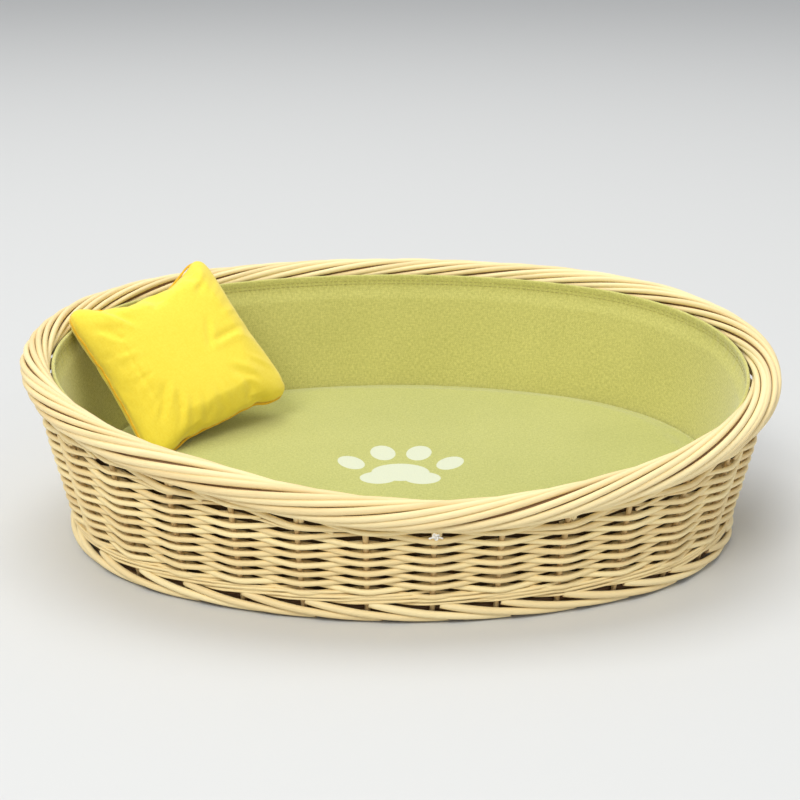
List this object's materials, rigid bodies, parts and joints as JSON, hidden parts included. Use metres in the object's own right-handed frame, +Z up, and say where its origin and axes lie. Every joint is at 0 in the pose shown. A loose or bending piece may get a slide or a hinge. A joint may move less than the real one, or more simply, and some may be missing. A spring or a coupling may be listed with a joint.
{
  "type": "wicker pet bed basket",
  "caption": "Oval willow basket with a low front, rolled border and randed wall, lined with padded fabric, with a lift-out oval cushion and a loose square pillow.",
  "frame": {"origin": "middle of the basket's outline on the floor that it stands on", "axes": "+Z up, -Y towards the low front, +X to the right of someone facing the front"},
  "size_m": [0.7, 0.5428, 0.21],
  "materials": {
    "willow_weave": "peeled white willow rods, dry and slightly silky",
    "willow_stake": "peeled willow stakes, a little darker where they are hidden",
    "willow_border": "thick peeled willow rods, smooth with faint lengthwise streaks",
    "willow_foot": "peeled willow rods with cut ends",
    "liner_fabric": "brushed olive green cloth, padded and hemmed",
    "cushion_fabric": "soft light green cloth with a pale paw print",
    "pillow_fabric": "yellow cotton, plain weave",
    "filling": "white polyester wadding",
    "tie_thread": "off-white cotton tape"
  },
  "bodies": {
    "basket": {"base_cross_sticks": "willow_stake", "base_long_sticks": "willow_stake", "base_weave": "willow_weave", "foot_border": "willow_foot", "liner_ties": "tie_thread", "liner_wadding": "filling", "liner_wall": "liner_fabric", "lower_row_1": "willow_weave", "lower_row_10": "willow_weave", "lower_row_11": "willow_weave", "lower_row_12": "willow_weave", "lower_row_2": "willow_weave", "lower_row_3": "willow_weave", "lower_row_4": "willow_weave", "lower_row_5": "willow_weave", "lower_row_6": "willow_weave", "lower_row_7": "willow_weave", "lower_row_8": "willow_weave", "lower_row_9": "willow_weave", "packing_row_1": "willow_weave", "packing_row_10": "willow_weave", "packing_row_11": "willow_weave", "packing_row_12": "willow_weave", "packing_row_13": "willow_weave", "packing_row_14": "willow_weave", "packing_row_15": "willow_weave", "packing_row_16": "willow_weave", "packing_row_2": "willow_weave", "packing_row_3": "willow_weave", "packing_row_4": "willow_weave", "packing_row_5": "willow_weave", "packing_row_6": "willow_weave", "packing_row_7": "willow_weave", "packing_row_8": "willow_weave", "packing_row_9": "willow_weave", "rolled_border": "willow_border", "side_stakes": "willow_stake", "upper_row_1": "willow_weave", "upper_row_2": "willow_weave", "upsett_rod_1": "willow_weave", "upsett_rod_2": "willow_weave", "upsett_rod_3": "willow_weave"},
    "cushion": {"cushion_cover": "cushion_fabric", "cushion_filling": "filling"},
    "pillow": {"pillow_cover": "pillow_fabric", "pillow_filling": "filling"}
  },
  "joints": [
    {"name": "cushion_lift", "type": "slide", "parent": "basket", "child": "cushion", "axis": [0, 0, 1], "range_m": [0, 0.3]},
    {"name": "pillow_lift", "type": "slide", "parent": "cushion", "child": "pillow", "axis": [0, 0, 1], "range_m": [0, 0.25]}
  ]
}
